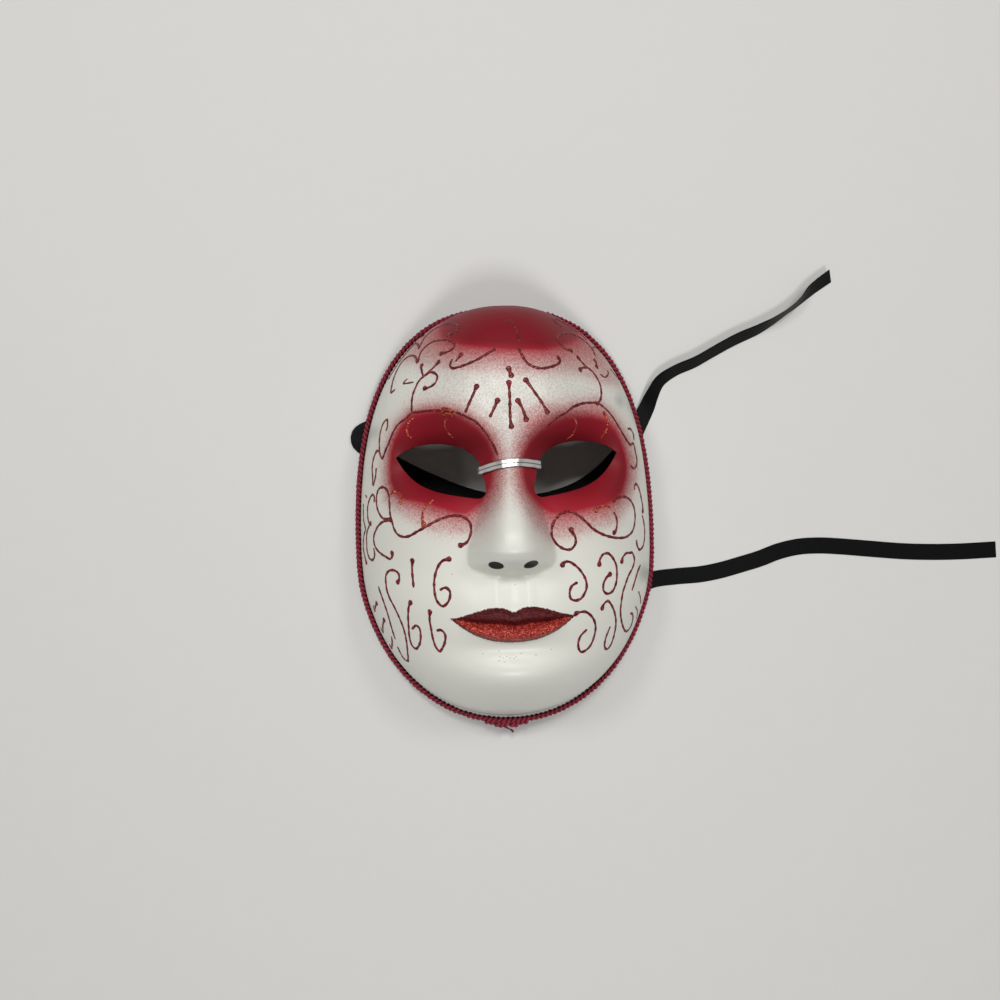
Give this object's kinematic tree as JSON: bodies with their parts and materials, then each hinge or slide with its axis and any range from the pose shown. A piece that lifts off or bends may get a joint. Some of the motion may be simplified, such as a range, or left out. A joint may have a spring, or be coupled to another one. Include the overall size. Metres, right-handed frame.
{
  "type": "mardi gras mask",
  "caption": "Full-face carnival mask in white moulded plastic with painted red eyes and glitter scrolls, a crimson braid edge and black tie ribbons.",
  "frame": {"origin": "on the surface the mask lies on, below the middle of the braid's outline", "axes": "+X to the right of the face as it is looked at, +Y towards the forehead, +Z out of the face, away from the surface"},
  "size_m": [0.3825, 0.2562, 0.0925],
  "materials": {
    "white_plastic": "white moulded plastic with a soft gloss, black inside, airbrushed red round the eyes and on the forehead, with glitter scrolls",
    "crimson_braid": "plaited crimson braid with a slight sheen",
    "foil_tie": "creased silver foil on a wire core",
    "black_satin": "black satin ribbon with woven edges"
  },
  "bodies": {
    "root": {"mask_shell": "white_plastic", "edge_braid": "crimson_braid", "bridge_tie": "foil_tie", "left_ribbon": "black_satin", "right_ribbon": "black_satin"}
  },
  "joints": []
}
